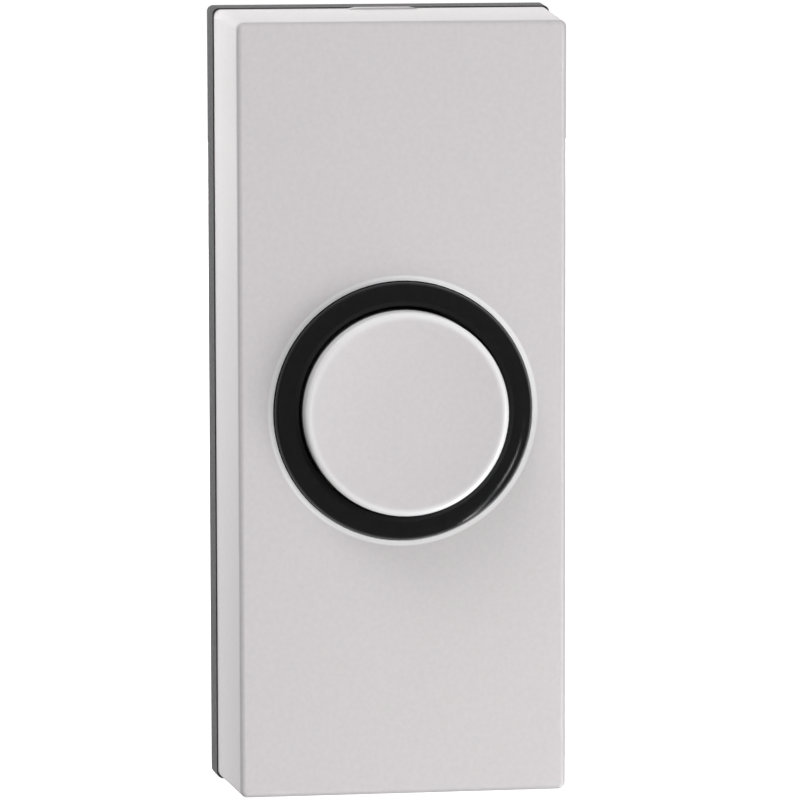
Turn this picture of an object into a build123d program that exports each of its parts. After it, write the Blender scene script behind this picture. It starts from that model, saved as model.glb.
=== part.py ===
import os
from math import cos, pi, sin

from build123d import *

os.makedirs("parts", exist_ok=True)

# A surface-mounted bell push. The wall is the plane Y = 0, the front faces -Y and +Z is up.
# Lengths are millimetres. A name that ends in _at is a distance out from the wall.

# back plate
plate_width = 33.0
plate_height = 75.2
plate_thickness = 2.0
plate_rim = 3.7
plate_draft = 0.15
plate_corner = 0.6
spigot_rise = 3.0
spigot_wall = 1.2
wall_screw_spacing = 58.0
wall_screw_hole = 4.2
screw_boss_wall = 2.3
screw_boss_rise = 1.0
cable_slot_width = 5.0
cable_slot_height = 13.0
cable_slot_gap = 2.4

# front cover
ledge = 0.12
cover_depth = 14.3
cover_draft = 0.63
cover_corner = 0.7
cover_edge_round = 0.5
cover_wall = 1.6
cover_front = 1.8

# catches between the cover and the plate
pad_width = 6.6
pad_depth = 1.4
pad_ramp = 0.7
pry_width = 6.3
pry_depth = 1.0
pry_reach = 0.8
bead_length = 12.0
bead_round = 0.5
bead_setback = 1.0

# button and the black ring round it
button_diameter = 19.3
button_proud = 3.2
button_travel = 2.1
button_dish = 0.28
button_dish_flat = 2.0
button_rim = 0.65
button_edge_round = 0.45
button_cap = 2.1
button_wall = 1.5
button_flange_width = 1.35
button_flange = 1.5
ring_band = 2.7
ring_rise = 1.1
ring_outer_round = 0.95
ring_inner_round = 0.6
bezel_flange = 1.4
bezel_flange_corner = 1.5
guide_length = 3.2
guide_wall = 1.25
stake_diameter = 2.0
stake_head_diameter = 3.2
stake_head = 0.7
stake_edge = 2.6

# contacts and terminals
stem_diameter = 10.8
stem_wall = 0.95
stem_shoulder = 0.8
stem_lip = 0.3
contact_ring_thickness = 0.8
rail_rise = 2.0
rail_rib = 0.9
strip_width = 7.0
strip_thickness = 0.6
strip_end = 1.7
wire_stop_gap = 0.3
strip_upturn = 2.2
rivet_head_diameter = 2.4
rivet_head = 0.7
rivet_chamfer = 0.3
rivet_shank_diameter = 1.5
terminal_spacing = 38.0
screw_diameter = 3.0
screw_head_diameter = 5.6
screw_head = 2.0
screw_slot_width = 0.8
screw_slot_depth = 0.8
screw_tip_setback = 0.4
clamp_size = 6.4
clamp_thickness = 0.8
nut_size = 5.5
nut_thickness = 2.0

# return spring and the post that centres it
spring_diameter = 8.0
spring_wire = 0.8
spring_turns = 6
spring_facets = 12
spring_wire_sides = 8
post_rise = 7.0
post_chamfer = 0.6

# clearances
fit_clearance = 0.15
bezel_clearance = 0.1
guide_clearance = 0.3
stop_clearance = 0.3
flange_clearance = 0.3
skirt_clearance = 0.3
contact_clearance = 0.1
press_clearance = 0.05
strip_clearance = 0.1
screw_clearance = 0.15
nut_clearance = 0.1
spring_clearance = 0.5


# Outline of the cover at a distance out from the wall, drawn in by the draft and by a wall.
def cover_outline(at, wall=0.0):
    lean = cover_draft * (at - plate_rim) / cover_depth
    inset = 2 * (plate_draft + ledge + lean + wall)
    return plate_width - inset, plate_height - inset


# A point of a turned section: distance from the button's axis, distance out from the wall.
def turned(radius, at):
    return radius, -at


# heights worked out from the sizes above
face_at = plate_rim + cover_depth
cover_inside_at = face_at - cover_front
button_top_at = face_at + button_proud
cap_inside_at = button_top_at - button_cap
ring_top_at = face_at + ring_rise
bezel_back_at = cover_inside_at - bezel_flange
guide_end_at = bezel_back_at - guide_length
flange_top_at = guide_end_at - stop_clearance
skirt_end_at = flange_top_at - button_flange
spigot_top_at = plate_rim + spigot_rise
strip_at = plate_thickness + rail_rise
strip_top_at = strip_at + strip_thickness
rivet_top_at = strip_top_at + rivet_head
contact_ring_at = rivet_top_at + contact_clearance + button_travel
stem_shoulder_at = contact_ring_at + contact_ring_thickness
stem_end_at = contact_ring_at - stem_lip
screw_head_at = strip_top_at + clamp_thickness
nut_pocket_at = nut_thickness + 2 * nut_clearance

# radii and places worked out from the sizes above
button_radius = button_diameter / 2
hole_radius = button_radius + ring_band
bezel_radius = hole_radius - bezel_clearance
guide_radius = button_radius + guide_clearance
stem_radius = stem_diameter / 2
contact_ring_radius = button_radius - button_wall - skirt_clearance
rivet_z = (stem_radius + contact_ring_radius) / 2
terminal_z = terminal_spacing / 2
strip_in_z = rivet_z - strip_end
strip_out_z = terminal_z + clamp_size / 2 + wire_stop_gap + strip_thickness
strip_mid_z = (strip_in_z + strip_out_z) / 2
strip_length = strip_out_z - strip_in_z
rail_width = strip_width + 2 * (strip_clearance + rail_rib)
rail_length = strip_length + strip_clearance + rail_rib
rail_mid_z = strip_in_z + rail_length / 2
cable_slot_x = rail_width / 2 + cable_slot_gap + cable_slot_width / 2
screw_hole_radius = screw_diameter / 2 + screw_clearance
cover_height = cover_outline(plate_rim)[1]
pad_foot_z = cover_height / 2 - cover_wall
bezel_flange_width = cover_outline(cover_inside_at, cover_wall)[0] - 2 * flange_clearance
bezel_flange_height = 2 * (hole_radius + stake_edge)
stake_x = bezel_flange_width / 2 - stake_edge
stake_z = hole_radius
spigot_width, spigot_height = cover_outline(spigot_top_at, cover_wall + fit_clearance)
bead_at = spigot_top_at - bead_setback
stakes = [(x, z) for x in (-stake_x, stake_x) for z in (-stake_z, stake_z)]
terminals = [(0, terminal_z), (0, -terminal_z)]
rivets = [(0, rivet_z), (0, -rivet_z)]

# back plate: a tray with a spigot that the cover closes over, contact rails and a spring post
with BuildPart() as back_plate:
    with BuildSketch(Plane.XZ):
        RectangleRounded(plate_width, plate_height, plate_corner)
    with BuildSketch(Plane.XZ.offset(plate_rim)):
        RectangleRounded(plate_width - 2 * plate_draft, plate_height - 2 * plate_draft, plate_corner)
    loft()
    with BuildSketch(Plane.XZ.offset(plate_rim)):
        RectangleRounded(spigot_width, spigot_height, cover_corner)
    extrude(amount=spigot_rise)
    with BuildSketch(Plane.XZ.offset(spigot_top_at)):
        Rectangle(spigot_width - 2 * spigot_wall, spigot_height - 2 * spigot_wall)
    extrude(amount=plate_thickness - spigot_top_at, mode=Mode.SUBTRACT)
    # snap beads along the top and bottom of the spigot
    for side in (1, -1):
        bead_axis = Plane((-bead_length / 2, -bead_at, side * spigot_height / 2), z_dir=(1, 0, 0))
        with BuildSketch(bead_axis):
            Circle(bead_round)
        extrude(amount=bead_length)
    # contact rails, each a channel that holds its strip
    for side in (1, -1):
        with BuildSketch(Plane.XZ.offset(plate_thickness)):
            with Locations((0, side * rail_mid_z)):
                Rectangle(rail_width, rail_length)
        extrude(amount=rail_rise + strip_thickness)
        with BuildSketch(Plane.XZ.offset(strip_at)):
            with Locations((0, side * strip_mid_z)):
                Rectangle(strip_width + 2 * strip_clearance, strip_length + 2 * strip_clearance)
        extrude(amount=strip_thickness, mode=Mode.SUBTRACT)
    # bosses for the wall screws and the post for the spring
    with BuildSketch(Plane.XZ.offset(plate_thickness)):
        with GridLocations(0, wall_screw_spacing, 1, 2):
            Circle(wall_screw_hole / 2 + screw_boss_wall)
    extrude(amount=screw_boss_rise)
    with BuildSketch(Plane.XZ.offset(plate_thickness)):
        Circle(spring_diameter / 2 - spring_wire - spring_clearance)
    extrude(amount=post_rise)
    chamfer(back_plate.faces().sort_by(Axis.Y)[0].edges(), post_chamfer)
    # holes through the plate: wall screws, cable entry, terminal screws
    with BuildSketch(Plane.XZ):
        with GridLocations(0, wall_screw_spacing, 1, 2):
            Circle(wall_screw_hole / 2)
        with Locations((cable_slot_x, 0)):
            SlotOverall(cable_slot_height, cable_slot_width, rotation=90)
        with Locations(*terminals):
            Circle(screw_hole_radius)
    extrude(amount=strip_top_at, mode=Mode.SUBTRACT)
    # pockets for the terminal nuts, open to the wall
    with BuildSketch(Plane.XZ):
        with Locations(*terminals):
            Rectangle(nut_size + 2 * nut_clearance, nut_size + 2 * nut_clearance)
    extrude(amount=nut_pocket_at, mode=Mode.SUBTRACT)
    # pry slot under the cover's lower edge
    with BuildSketch(Plane.XZ.offset(plate_rim)):
        with Locations((0, pry_reach - cover_height / 2)):
            Rectangle(pry_width, plate_height, align=(Align.CENTER, Align.MAX))
    extrude(amount=-pry_depth, mode=Mode.SUBTRACT)

# front cover: a drafted shell with a rounded front edge and a round hole
with BuildPart() as front_cover:
    with BuildSketch(Plane.XZ.offset(plate_rim)):
        RectangleRounded(*cover_outline(plate_rim), cover_corner)
    with BuildSketch(Plane.XZ.offset(face_at)):
        RectangleRounded(*cover_outline(face_at), cover_corner)
    loft()
    fillet(front_cover.faces().sort_by(Axis.Y)[0].edges(), cover_edge_round)
    with BuildSketch(Plane.XZ.offset(plate_rim)):
        Rectangle(*cover_outline(plate_rim, cover_wall))
    with BuildSketch(Plane.XZ.offset(cover_inside_at)):
        Rectangle(*cover_outline(cover_inside_at, cover_wall))
    loft(mode=Mode.SUBTRACT)
    with BuildSketch(Plane.XZ.offset(face_at)):
        Circle(hole_radius)
    extrude(amount=-cover_front, mode=Mode.SUBTRACT)
    # stakes that hold the bezel, with their formed heads
    with BuildSketch(Plane.XZ.offset(cover_inside_at)):
        with Locations(*stakes):
            Circle(stake_diameter / 2)
    extrude(amount=-bezel_flange)
    with BuildSketch(Plane.XZ.offset(bezel_back_at)):
        with Locations(*stakes):
            Circle(stake_head_diameter / 2)
    extrude(amount=-stake_head)
    # low pad at the middle of the top edge, flush with the plate, and grooves for the snap beads
    with BuildSketch(Plane.XZ.offset(plate_rim)):
        with BuildLine():
            Polyline(
                (-pad_width / 2, pad_foot_z),
                (-pad_width / 2, cover_height / 2),
                (pad_ramp - pad_width / 2, cover_height / 2 + ledge),
                (pad_width / 2 - pad_ramp, cover_height / 2 + ledge),
                (pad_width / 2, cover_height / 2),
                (pad_width / 2, pad_foot_z),
                close=True,
            )
        make_face()
    extrude(amount=pad_depth)
    for side in (1, -1):
        groove_start = -bead_length / 2 - fit_clearance
        groove_axis = Plane((groove_start, -bead_at, side * spigot_height / 2), z_dir=(1, 0, 0))
        with BuildSketch(groove_axis):
            Circle(bead_round + fit_clearance)
        extrude(amount=bead_length + 2 * fit_clearance, mode=Mode.SUBTRACT)

# bezel ring: a raised black ring with rounded shoulders, and the tube that guides the button
with BuildPart() as bezel_ring:
    with BuildSketch(Plane.XZ.offset(cover_inside_at)):
        RectangleRounded(bezel_flange_width, bezel_flange_height, bezel_flange_corner)
        Circle(bezel_radius, mode=Mode.SUBTRACT)
        with Locations(*stakes):
            Circle(stake_diameter / 2 + press_clearance, mode=Mode.SUBTRACT)
    extrude(amount=-bezel_flange)
    with BuildSketch(Plane.XY) as ring_section:
        with BuildLine():
            Polyline(
                turned(guide_radius, ring_top_at),
                turned(bezel_radius, ring_top_at),
                turned(bezel_radius, bezel_back_at),
                turned(guide_radius + guide_wall, bezel_back_at),
                turned(guide_radius + guide_wall, guide_end_at),
                turned(guide_radius, guide_end_at),
                close=True,
            )
        make_face()
        outer_shoulder = ring_section.vertices().sort_by_distance(turned(bezel_radius, ring_top_at))[0]
        fillet(outer_shoulder, ring_outer_round)
        inner_shoulder = ring_section.vertices().sort_by_distance(turned(guide_radius, ring_top_at))[0]
        fillet(inner_shoulder, ring_inner_round)
    revolve(axis=Axis.Y)

# push button: a dished cap on a skirt, with a tubular stem for the spring and the contact ring
with BuildPart() as push_button:
    with BuildSketch(Plane.XY) as button_section:
        with BuildLine():
            dish = TangentArc(
                turned(button_dish_flat, button_top_at - button_dish),
                turned(button_radius - button_rim, button_top_at),
                tangent=(1, 0),
            )
            Polyline(
                dish @ 1,
                turned(button_radius, button_top_at),
                turned(button_radius, flange_top_at),
                turned(button_radius + button_flange_width, flange_top_at),
                turned(button_radius + button_flange_width, skirt_end_at),
                turned(button_radius - button_wall, skirt_end_at),
                turned(button_radius - button_wall, cap_inside_at),
                turned(stem_radius + stem_shoulder, cap_inside_at),
                turned(stem_radius + stem_shoulder, stem_shoulder_at),
                turned(stem_radius, stem_shoulder_at),
                turned(stem_radius, stem_end_at),
                turned(stem_radius - stem_wall, stem_end_at),
                turned(stem_radius - stem_wall, cap_inside_at),
                turned(0, cap_inside_at),
                turned(0, button_top_at - button_dish),
                dish @ 0,
            )
        make_face()
        rim_corner = button_section.vertices().sort_by_distance(turned(button_radius, button_top_at))[0]
        fillet(rim_corner, button_edge_round)
    revolve(axis=Axis.Y)

# contact ring: bridges the two rivets when the button is pressed
with BuildPart() as contact_ring:
    with BuildSketch(Plane.XZ.offset(contact_ring_at)):
        Circle(contact_ring_radius)
        Circle(stem_radius + press_clearance, mode=Mode.SUBTRACT)
    extrude(amount=contact_ring_thickness)

# return spring: stands on the plate round the post and bears on the inside of the cap
coil_radius = (spring_diameter - spring_wire) / 2
coil_length = cap_inside_at - plate_thickness - spring_wire
coil_start_at = plate_thickness + spring_wire / 2
coil_steps = spring_turns * spring_facets
coil_points = []
for step in range(coil_steps + 1):
    turn = 2 * pi * step / spring_facets
    coil_at = coil_start_at + coil_length * step / coil_steps
    coil_points.append((coil_radius * cos(turn), -coil_at, coil_radius * sin(turn)))
with BuildPart() as return_spring:
    with BuildLine():
        coil = Polyline(*coil_points)
    with BuildSketch(Plane(coil @ 0, z_dir=coil % 0)):
        RegularPolygon(spring_wire / 2, spring_wire_sides)
    sweep(transition=Transition.RIGHT)


# One contact strip, upturned at its outer end to stop the wire.
def contact_strip(side):
    with BuildPart() as strip:
        with BuildSketch(Plane.XZ.offset(strip_at)):
            with Locations((0, side * strip_mid_z)):
                Rectangle(strip_width, strip_length)
            with Locations((0, side * terminal_z)):
                Circle(screw_hole_radius, mode=Mode.SUBTRACT)
            with Locations((0, side * rivet_z)):
                Circle(rivet_shank_diameter / 2 + press_clearance, mode=Mode.SUBTRACT)
        extrude(amount=strip_thickness)
        with BuildSketch(Plane.XZ.offset(strip_top_at)):
            with Locations((0, side * (strip_out_z - strip_thickness / 2))):
                Rectangle(strip_width, strip_thickness)
        extrude(amount=strip_upturn)
    return strip.part


upper_contact_strip = contact_strip(1)
lower_contact_strip = contact_strip(-1)

# contact rivets: chamfered heads on the strips, under the contact ring
with BuildPart() as contact_rivets:
    with BuildSketch(Plane.XZ.offset(strip_top_at)):
        with Locations(*rivets):
            Circle(rivet_head_diameter / 2)
    extrude(amount=rivet_head)
    chamfer(contact_rivets.edges().group_by(Axis.Y)[0], rivet_chamfer)
    with BuildSketch(Plane.XZ.offset(strip_at)):
        with Locations(*rivets):
            Circle(rivet_shank_diameter / 2)
    extrude(amount=strip_thickness)

# terminal screws: slotted cheese heads, each through a clamp and a strip into its nut
with BuildPart() as terminal_screws:
    with BuildSketch(Plane.XZ.offset(screw_head_at)):
        with Locations(*terminals):
            Circle(screw_head_diameter / 2)
    extrude(amount=screw_head)
    with BuildSketch(Plane.XZ.offset(screw_head_at + screw_head - screw_slot_depth)):
        with Locations(*terminals):
            Rectangle(screw_head_diameter, screw_slot_width)
    extrude(amount=screw_slot_depth, mode=Mode.SUBTRACT)
    with BuildSketch(Plane.XZ.offset(screw_tip_setback)):
        with Locations(*terminals):
            Circle(screw_diameter / 2)
    extrude(amount=screw_head_at - screw_tip_setback)

# clamp plates under the screw heads
with BuildPart() as terminal_clamps:
    with BuildSketch(Plane.XZ.offset(strip_top_at)):
        with Locations(*terminals):
            Rectangle(clamp_size, clamp_size)
            Circle(screw_hole_radius, mode=Mode.SUBTRACT)
    extrude(amount=clamp_thickness)

# square nuts, drawn up against the ceilings of their pockets
with BuildPart() as terminal_nuts:
    with BuildSketch(Plane.XZ.offset(nut_pocket_at - nut_thickness)):
        with Locations(*terminals):
            Rectangle(nut_size, nut_size)
            Circle(screw_diameter / 2 + press_clearance, mode=Mode.SUBTRACT)
    extrude(amount=nut_thickness)

pieces = {
    "back_plate": back_plate.part,
    "front_cover": front_cover.part,
    "bezel_ring": bezel_ring.part,
    "push_button": push_button.part,
    "contact_ring": contact_ring.part,
    "return_spring": return_spring.part,
    "upper_contact_strip": upper_contact_strip,
    "lower_contact_strip": lower_contact_strip,
    "contact_rivets": contact_rivets.part,
    "terminal_screws": terminal_screws.part,
    "terminal_clamps": terminal_clamps.part,
    "terminal_nuts": terminal_nuts.part,
}
for name, piece in pieces.items():
    piece.label = name
    export_step(piece, f"parts/{name}.step")
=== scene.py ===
import math

import bpy
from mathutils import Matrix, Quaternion, Vector


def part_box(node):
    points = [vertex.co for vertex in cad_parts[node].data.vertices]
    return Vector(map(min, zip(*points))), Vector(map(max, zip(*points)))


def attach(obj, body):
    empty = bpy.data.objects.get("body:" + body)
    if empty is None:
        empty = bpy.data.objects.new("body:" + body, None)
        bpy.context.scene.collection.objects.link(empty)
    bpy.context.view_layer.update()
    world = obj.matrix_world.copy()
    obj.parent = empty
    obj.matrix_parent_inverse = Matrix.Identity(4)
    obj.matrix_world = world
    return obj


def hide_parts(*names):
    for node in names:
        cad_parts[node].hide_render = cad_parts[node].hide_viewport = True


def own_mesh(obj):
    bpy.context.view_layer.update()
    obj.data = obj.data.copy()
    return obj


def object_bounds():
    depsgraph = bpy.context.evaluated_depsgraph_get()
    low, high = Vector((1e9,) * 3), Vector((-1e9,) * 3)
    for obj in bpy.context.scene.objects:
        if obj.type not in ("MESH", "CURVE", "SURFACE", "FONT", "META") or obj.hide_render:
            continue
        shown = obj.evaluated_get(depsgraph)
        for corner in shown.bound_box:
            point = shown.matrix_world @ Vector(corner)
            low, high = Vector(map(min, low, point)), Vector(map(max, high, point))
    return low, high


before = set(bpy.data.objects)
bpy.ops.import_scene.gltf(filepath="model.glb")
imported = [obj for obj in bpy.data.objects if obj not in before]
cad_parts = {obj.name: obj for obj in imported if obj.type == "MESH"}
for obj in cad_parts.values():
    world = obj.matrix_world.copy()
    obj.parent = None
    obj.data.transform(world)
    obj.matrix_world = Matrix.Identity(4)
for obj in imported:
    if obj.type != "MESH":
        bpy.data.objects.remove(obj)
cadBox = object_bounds()
print("frame loaded:", len(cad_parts), "nodes")

noiseRange = (0.25, 0.75)  # where most of a noise pattern's values lie
rampStops = (0.3, 0.7)  # where a pattern turns from its low colour to its high one


def newMaterial(name):
    material = bpy.data.materials.new(name)
    material.use_nodes = True
    tree = material.node_tree
    return material, tree, tree.nodes["Principled BSDF"]


def objectNoise(tree, scale, detail=2.0):
    coords = tree.nodes.new("ShaderNodeTexCoord")
    noise = tree.nodes.new("ShaderNodeTexNoise")
    noise.inputs["Scale"].default_value = scale
    noise.inputs["Detail"].default_value = detail
    tree.links.new(coords.outputs["Object"], noise.inputs["Vector"])
    return noise.outputs["Fac"]


def toneRamp(tree, source, low, high, stops=rampStops):
    node = tree.nodes.new("ShaderNodeValToRGB")
    for element, place, colour in zip(node.color_ramp.elements, stops, (low, high)):
        element.position = place
        element.color = (*colour, 1.0)
    tree.links.new(source, node.inputs["Fac"])
    return node.outputs["Color"]


def addRoughness(tree, shader, source, roughness):
    node = tree.nodes.new("ShaderNodeMapRange")
    node.inputs["From Min"].default_value = noiseRange[0]
    node.inputs["From Max"].default_value = noiseRange[1]
    node.inputs["To Min"].default_value = roughness[0]
    node.inputs["To Max"].default_value = roughness[1]
    tree.links.new(source, node.inputs["Value"])
    tree.links.new(node.outputs["Result"], shader.inputs["Roughness"])


# colour and roughness that follow one noise pattern
def addTone(tree, shader, source, look):
    colour = toneRamp(tree, source, look["low"], look["high"])
    tree.links.new(colour, shader.inputs["Base Color"])
    addRoughness(tree, shader, source, look["roughness"])


def addBump(tree, shader, source, strength, distance):
    node = tree.nodes.new("ShaderNodeBump")
    node.inputs["Strength"].default_value = strength
    node.inputs["Distance"].default_value = distance
    tree.links.new(source, node.inputs["Height"])
    tree.links.new(node.outputs["Normal"], shader.inputs["Normal"])


def dress(nodeName, material):
    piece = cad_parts[nodeName]
    piece.data.materials.clear()
    piece.data.materials.append(material)


# share that rises smoothly from 0 to 1 between two values
def smoothShare(tree, source, fromValue, toValue):
    node = tree.nodes.new("ShaderNodeMapRange")
    node.interpolation_type = "SMOOTHSTEP"
    node.inputs["From Min"].default_value = fromValue
    node.inputs["From Max"].default_value = toValue
    tree.links.new(source, node.inputs["Value"])
    return node.outputs["Result"]


# share of the painted highlight line along the round edges, by distance from the button's axis and by
# depth
def edgeHighlightShare(tree, edge):
    coords = tree.nodes.new("ShaderNodeTexCoord")
    flatten = tree.nodes.new("ShaderNodeVectorMath")
    flatten.operation = "MULTIPLY"
    flatten.inputs[1].default_value = (1.0, 0.0, 1.0)
    tree.links.new(coords.outputs["Object"], flatten.inputs[0])
    reach = tree.nodes.new("ShaderNodeVectorMath")
    reach.operation = "LENGTH"
    tree.links.new(flatten.outputs["Vector"], reach.inputs[0])
    split = tree.nodes.new("ShaderNodeSeparateXYZ")
    tree.links.new(coords.outputs["Object"], split.inputs["Vector"])
    byReach = smoothShare(tree, reach.outputs["Value"], edge["plainAt"], edge["paleAt"])
    byDepth = smoothShare(tree, split.outputs["Y"], *edge["depths"])
    both = tree.nodes.new("ShaderNodeMath")
    both.operation = "MULTIPLY"
    tree.links.new(byReach, both.inputs[0])
    tree.links.new(byDepth, both.inputs[1])
    return both.outputs["Value"]


# satin silver paint on the cover and the button: fine flake over a faint mottle, with a painted highlight
# line on the round edges
silverPaint = {
    "colour": (0.660, 0.632, 0.640),
    # colour of the painted highlight on the round edges
    "edgeHighlightColour": (0.90, 0.895, 0.898),
    "variation": 0.025,
    "flakeScale": 5200.0,
    "mottleScale": 2100.0,
    "detail": 3.0,
    "metallic": 0.15,
    "roughness": (0.36, 0.46),
    "bump": (0.06, 0.00002),
}
# painted highlight lines round the hole for the ring, and round the button's rim
coverEdgeHighlight = {"plainAt": 0.01294, "paleAt": 0.01270, "depths": (-0.0160, -0.0172)}
buttonEdgeHighlight = {"plainAt": 0.00875, "paleAt": 0.00945, "depths": (-0.0180, -0.0192)}


def makeSilverPaint(name, edge):
    material, tree, shader = newMaterial(name)
    flakes = objectNoise(tree, silverPaint["flakeScale"], silverPaint["detail"])
    mottle = objectNoise(tree, silverPaint["mottleScale"], silverPaint["detail"])
    low = tuple(c * (1.0 - silverPaint["variation"]) for c in silverPaint["colour"])
    high = tuple(c * (1.0 + silverPaint["variation"]) for c in silverPaint["colour"])
    mix = tree.nodes.new("ShaderNodeMix")
    mix.data_type = "RGBA"
    # mixes the painted highlight colour in along the round edges
    tree.links.new(edgeHighlightShare(tree, edge), mix.inputs["Factor"])
    tree.links.new(toneRamp(tree, mottle, low, high), mix.inputs["A"])
    mix.inputs["B"].default_value = (*silverPaint["edgeHighlightColour"], 1.0)
    tree.links.new(mix.outputs["Result"], shader.inputs["Base Color"])
    addRoughness(tree, shader, flakes, silverPaint["roughness"])
    shader.inputs["Metallic"].default_value = silverPaint["metallic"]
    addBump(tree, shader, flakes, *silverPaint["bump"])
    return material


# polished black moulding of the ring, with its edges softened a little
ringGloss = {
    "low": (0.0015, 0.0015, 0.0018),
    "high": (0.0035, 0.0035, 0.0040),
    "roughness": (0.11, 0.15),
    "scale": 1200.0,
    "specular": 0.3,
    "softSamples": 6,
    "softRadius": 0.0004,
}


def makeRingGloss():
    material, tree, shader = newMaterial("ringGloss")
    haze = objectNoise(tree, ringGloss["scale"])
    addTone(tree, shader, haze, ringGloss)
    shader.inputs["Specular IOR Level"].default_value = ringGloss["specular"]
    soften = tree.nodes.new("ShaderNodeBevel")
    soften.samples = ringGloss["softSamples"]
    soften.inputs["Radius"].default_value = ringGloss["softRadius"]
    tree.links.new(soften.outputs["Normal"], shader.inputs["Normal"])
    return material


# dark satin moulding of the back plate
plateMoulding = {
    "low": (0.036, 0.036, 0.038),
    "high": (0.046, 0.046, 0.048),
    "roughness": (0.40, 0.55),
    "scale": 2400.0,
    "detail": 3.0,
    "specular": 0.14,
    "bump": (0.15, 0.00003),
}


def makePlateMoulding():
    material, tree, shader = newMaterial("plateMoulding")
    grain = objectNoise(tree, plateMoulding["scale"], plateMoulding["detail"])
    addTone(tree, shader, grain, plateMoulding)
    shader.inputs["Specular IOR Level"].default_value = plateMoulding["specular"]
    addBump(tree, shader, grain, *plateMoulding["bump"])
    return material


# metals of the contacts, the screws and the spring
metalWear = {"detail": 4.0, "bump": (0.03, 0.00001)}
brassLook = {
    "low": (0.62, 0.42, 0.16),
    "high": (0.76, 0.55, 0.25),
    "roughness": (0.30, 0.42),
    "scale": 900.0,
}
zincLook = {
    "low": (0.56, 0.57, 0.60),
    "high": (0.72, 0.72, 0.74),
    "roughness": (0.30, 0.42),
    "scale": 1100.0,
}
wireLook = {
    "low": (0.50, 0.50, 0.52),
    "high": (0.66, 0.66, 0.68),
    "roughness": (0.26, 0.36),
    "scale": 1600.0,
}


def makeMetal(name, look):
    material, tree, shader = newMaterial(name)
    wear = objectNoise(tree, look["scale"], metalWear["detail"])
    addTone(tree, shader, wear, look)
    shader.inputs["Metallic"].default_value = 1.0
    addBump(tree, shader, wear, *metalWear["bump"])
    return material


# both paints carry the painted highlight line on their round edges
coverPaint = makeSilverPaint("coverPaint", coverEdgeHighlight)
buttonPaint = makeSilverPaint("buttonPaint", buttonEdgeHighlight)
ringBlack = makeRingGloss()
plateDark = makePlateMoulding()
brass = makeMetal("stampedBrass", brassLook)
zinc = makeMetal("zincPlate", zincLook)
springWire = makeMetal("springWire", wireLook)

finishes = {
    "front_cover": coverPaint,
    "push_button": buttonPaint,
    "bezel_ring": ringBlack,
    "back_plate": plateDark,
    "contact_ring": brass,
    "upper_contact_strip": brass,
    "lower_contact_strip": brass,
    "contact_rivets": brass,
    "terminal_nuts": brass,
    "terminal_screws": zinc,
    "terminal_clamps": zinc,
    "return_spring": springWire,
}
for nodeName, material in finishes.items():
    dress(nodeName, material)
print("materials dressed on", len(finishes), "nodes")

# return spring as a round-wire coil with closed end turns, in the CAD coil's own space
springSetup = {
    "wire": 0.0008,
    "outer": 0.0080,
    "closedPitch": 0.00084,
    "activeTurns": 6,
    "stepsPerTurn": 36,
    "wireSides": 16,
    "mergeWithin": 0.00001,
    "smoothAngle": 40.0,
}
springLow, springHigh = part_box("return_spring")
springLength = springHigh[1] - springLow[1]
wireRadius = springSetup["wire"] / 2.0
coilRadius = (springSetup["outer"] - springSetup["wire"]) / 2.0
coilRun = springLength - springSetup["wire"]
closedPitch = springSetup["closedPitch"]
activeTurns = springSetup["activeTurns"]
activeRun = coilRun - 2.0 * closedPitch
runs = [
    (0.0, 1, closedPitch),
    (closedPitch, activeTurns, activeRun / activeTurns),
    (closedPitch + activeRun, 1, closedPitch),
]  # start along the coil, turns, pitch
coilParts = []
for startRun, turns, pitch in runs:
    bpy.ops.object.select_all(action="DESELECT")
    startY = springHigh[1] - wireRadius - startRun
    bpy.ops.mesh.primitive_circle_add(
        vertices=springSetup["wireSides"],
        radius=wireRadius,
        location=(coilRadius, startY, 0.0),
    )
    coilPart = bpy.context.object
    bpy.ops.object.transform_apply(location=True, rotation=True, scale=True)
    screw = coilPart.modifiers.new("coil", "SCREW")
    screw.axis = "Y"
    screw.angle = 2.0 * math.pi
    screw.screw_offset = -pitch
    screw.iterations = turns
    screw.steps = springSetup["stepsPerTurn"]
    screw.render_steps = springSetup["stepsPerTurn"]
    screw.use_merge_vertices = False
    bpy.ops.object.modifier_apply(modifier="coil")
    coilParts.append(coilPart)
bpy.ops.object.select_all(action="DESELECT")
for coilPart in coilParts:
    coilPart.select_set(True)
bpy.context.view_layer.objects.active = coilParts[0]
bpy.ops.object.join()
coilSpring = bpy.context.object
coilSpring.name = "coilSpring"
bpy.ops.object.mode_set(mode="EDIT")
bpy.ops.mesh.select_all(action="SELECT")
bpy.ops.mesh.remove_doubles(threshold=springSetup["mergeWithin"])
bpy.ops.mesh.fill_holes(sides=0)  # caps the two wire ends
bpy.ops.mesh.normals_make_consistent(inside=False)
bpy.ops.object.mode_set(mode="OBJECT")
bpy.ops.object.shade_smooth_by_angle(angle=math.radians(springSetup["smoothAngle"]))
coilSpring.data.materials.clear()
coilSpring.data.materials.append(springWire)
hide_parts("return_spring")
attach(coilSpring, "housing")
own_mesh(coilSpring)
print("spring coiled:", len(coilSpring.data.polygons), "faces")

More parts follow.
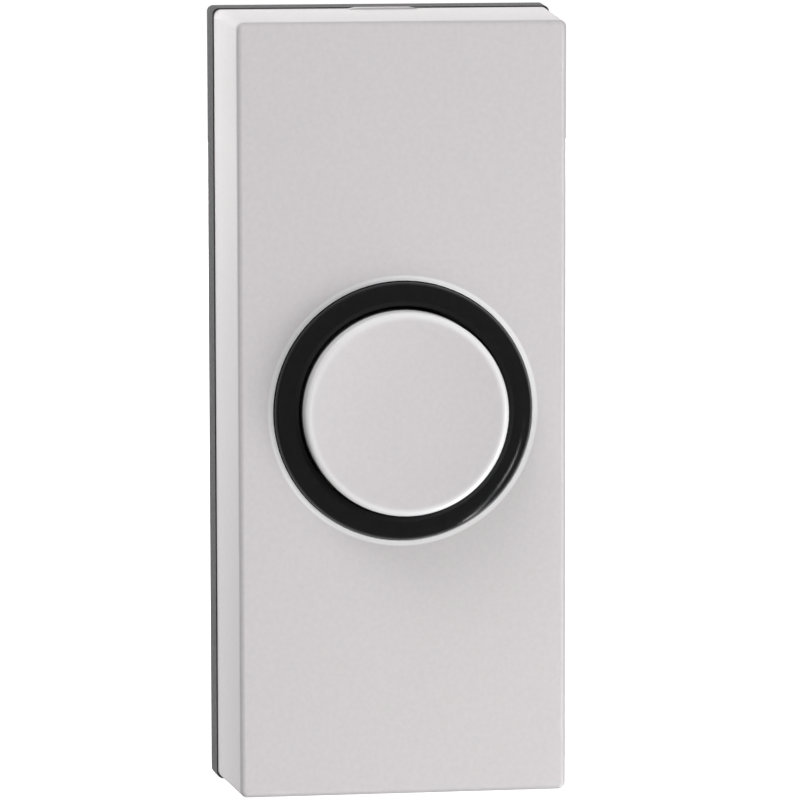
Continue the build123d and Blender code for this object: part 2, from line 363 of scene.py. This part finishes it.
# pale floor under the lower edge of the plate, lit from under as a light table is
floorSetup = {"size": 8.0, "colour": (0.93, 0.93, 0.93), "roughness": 0.8, "glow": 0.85}
floorHeight = cadBox[0][2]
bpy.ops.object.select_all(action="DESELECT")
bpy.ops.mesh.primitive_plane_add(size=floorSetup["size"], location=(0.0, 0.0, floorHeight))
studioFloor = bpy.context.object
studioFloor.name = "studioFloor"
floorMaterial, _, floorShader = newMaterial("paleFloor")
floorShader.inputs["Base Color"].default_value = (*floorSetup["colour"], 1.0)
floorShader.inputs["Roughness"].default_value = floorSetup["roughness"]
floorShader.inputs["Emission Color"].default_value = (1.0, 1.0, 1.0, 1.0)
floorShader.inputs["Emission Strength"].default_value = floorSetup["glow"]
studioFloor.data.materials.append(floorMaterial)
studioFloor.visible_shadow = False  # lets the low fill light through
studioFloor.visible_diffuse = False  # keeps its glow off the object
studioFloor.visible_glossy = False
print("floor laid at", round(floorHeight, 4))

# soft white surroundings, brighter in front than behind
surroundings = {"front": 0.425, "behind": 0.03, "stops": (0.35, 0.65)}
studioWorld = bpy.data.worlds.new("studioWorld")
studioWorld.use_nodes = True
bpy.context.scene.world = studioWorld
worldTree = studioWorld.node_tree
direction = worldTree.nodes.new("ShaderNodeTexCoord")
directionParts = worldTree.nodes.new("ShaderNodeSeparateXYZ")
worldTree.links.new(direction.outputs["Generated"], directionParts.inputs["Vector"])
depthShare = worldTree.nodes.new("ShaderNodeMapRange")
depthShare.inputs["From Min"].default_value = -1.0
depthShare.inputs["From Max"].default_value = 1.0
worldTree.links.new(directionParts.outputs["Y"], depthShare.inputs["Value"])
surroundTone = toneRamp(
    worldTree,
    depthShare.outputs["Result"],
    (surroundings["front"],) * 3,
    (surroundings["behind"],) * 3,
    surroundings["stops"],
)
worldTree.links.new(surroundTone, worldTree.nodes["Background"].inputs["Color"])
print("surroundings set")

# soft rectangular lights, none of them seen by the camera; each gives only what differs from plainLight
plainLight = {"aim": (0.0, 0.0, 0.0), "turn": 0.0, "spread": 180.0, "diffuse": True, "sheen": False}
studioLights = {
    "sideFill": {"at": (0.46, -0.38, -0.20), "size": (0.27, 0.27), "power": 1.74},
    "lowFill": {"at": (0.347, -0.300, -0.386), "size": (0.45, 0.45), "power": 1.26},
    # a strip that shows only as a streak in the gloss, most of all in the ring
    "ringGlint": {
        "at": (0.347, -0.300, -0.386),
        "size": (0.80, 0.07),
        "turn": -45.0,
        "power": 3.0,
        "diffuse": False,
        "sheen": True,
    },
    "highKey": {"at": (-0.360, -0.279, 0.774), "size": (0.36, 0.36), "power": 4.8},
    # from behind, for the top and left sides of the cover
    "topWash": {
        "at": (0.10, 0.45, 0.30),
        "aim": (0.0, 0.0, 0.03),
        "size": (0.30, 0.30),
        "power": 0.6,
    },
    "leftTop": {
        "at": (-0.12, 0.16, 0.05),
        "aim": (-0.016, -0.009, 0.031),
        "size": (0.05, 0.05),
        "spread": 22.0,
        "power": 0.0060,
    },
    "wallGlow": {
        "at": (0.0, 0.004, 0.0),
        "aim": (0.0, -1.0, 0.0),
        "size": (0.085, 0.125),
        "power": 0.034,
        "sheen": True,
    },
    "backFill": {"at": (0.0, 0.90, 0.0), "size": (0.50, 0.50), "power": 6.0},
}


def addSoftLight(name, setup):
    lamp = bpy.data.lights.new(name, "AREA")
    lamp.shape = "RECTANGLE"
    lamp.size, lamp.size_y = setup["size"]
    lamp.spread = math.radians(setup["spread"])
    lamp.energy = setup["power"]
    lampObject = bpy.data.objects.new(name, lamp)
    bpy.context.collection.objects.link(lampObject)
    lampObject.location = setup["at"]
    shine = Vector(setup["aim"]) - Vector(setup["at"])
    turn = Quaternion((0.0, 0.0, 1.0), math.radians(setup["turn"]))
    lampObject.rotation_euler = (shine.to_track_quat("-Z", "Y") @ turn).to_euler()
    lampObject.visible_camera = False
    lampObject.visible_diffuse = setup["diffuse"]
    lampObject.visible_glossy = setup["sheen"]


for lightName, lightSetup in studioLights.items():
    addSoftLight(lightName, {**plainLight, **lightSetup})
print("lights set:", len(studioLights))

# camera at the photograph's angle, a little to the left and above
cameraSetup = {
    "yaw": 8.05,
    "pitch": 6.74,
    "roll": -0.11,
    "distance": 0.504,
    "focalPixels": 5247.0,
    "frameWidth": 800.0,
    "sensorWidth": 36.0,
    "clipStart": 0.01,
    "aim": (0.00097, -0.009, -0.00003),
}
yaw = math.radians(cameraSetup["yaw"])
pitch = math.radians(cameraSetup["pitch"])
roll = Quaternion((0.0, 0.0, 1.0), math.radians(cameraSetup["roll"]))
towardCamera = Vector((
    -math.sin(yaw) * math.cos(pitch),
    -math.cos(yaw) * math.cos(pitch),
    math.sin(pitch),
))
focalShare = cameraSetup["focalPixels"] / cameraSetup["frameWidth"]
cameraData = bpy.data.cameras.new("studioCamera")
cameraData.sensor_width = cameraSetup["sensorWidth"]
cameraData.lens = focalShare * cameraData.sensor_width
cameraData.clip_start = cameraSetup["clipStart"]
cameraObject = bpy.data.objects.new("studioCamera", cameraData)
bpy.context.collection.objects.link(cameraObject)
cameraObject.location = Vector(cameraSetup["aim"]) + towardCamera * cameraSetup["distance"]
cameraObject.rotation_euler = (towardCamera.to_track_quat("Z", "Y") @ roll).to_euler()
bpy.context.scene.camera = cameraObject
bpy.context.scene.view_settings.view_transform = "Standard"
print("camera set")
